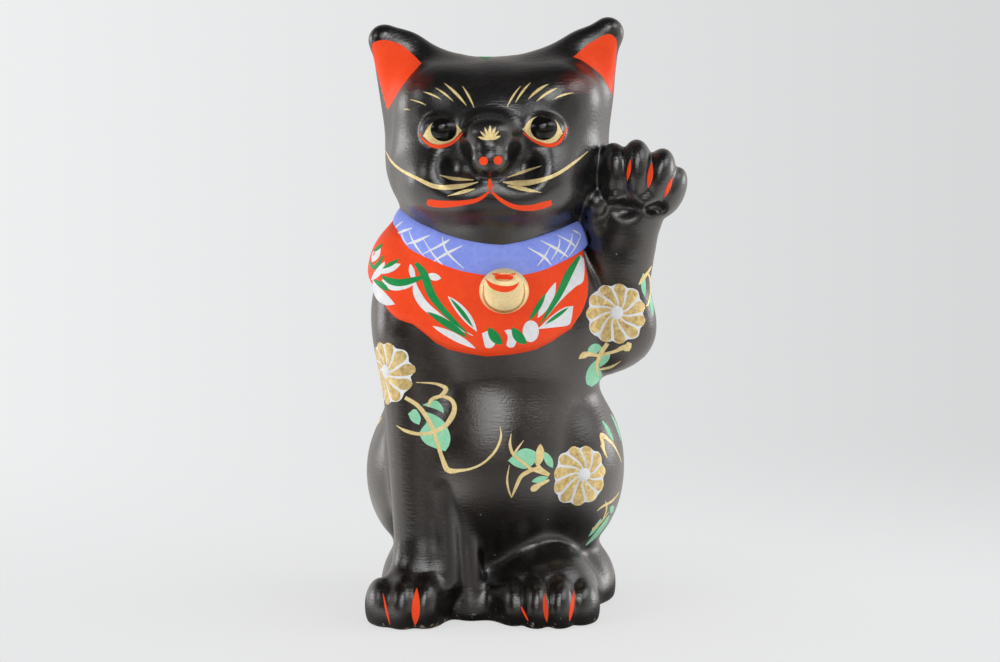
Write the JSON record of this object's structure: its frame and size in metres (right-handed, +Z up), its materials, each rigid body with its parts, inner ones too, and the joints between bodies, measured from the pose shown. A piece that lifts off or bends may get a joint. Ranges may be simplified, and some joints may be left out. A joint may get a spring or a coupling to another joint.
{
  "type": "beckoning cat figurine",
  "caption": "Seated beckoning cat figurine: a hollow moulded clay body with one raised paw, collar, bib and bell, resting on a flat underside.",
  "frame": {"origin": "on the flat underside, below the middle of the body", "axes": "+Z up to the ears; the cat faces -Y, so its own left side, with the raised foreleg, is +X"},
  "size_m": [0.115, 0.0975, 0.2096],
  "materials": {
    "black_paint": "satin black paint on low-fired clay, with hand-painted flowers and whiskers",
    "bare_clay": "unpainted low-fired clay",
    "lavender_paint": "satin lavender paint with white cross-hatching",
    "vermilion_paint": "satin vermilion paint with green and white leaves",
    "gold_paint": "gold metallic paint"
  },
  "bodies": {
    "root": {"front_shell": "black_paint", "back_shell": "black_paint", "base_slab": "bare_clay", "raised_foreleg": "black_paint", "left_ear": "black_paint", "right_ear": "black_paint", "tail": "black_paint", "collar": "lavender_paint", "bib": "vermilion_paint", "bell": "gold_paint"}
  },
  "joints": []
}
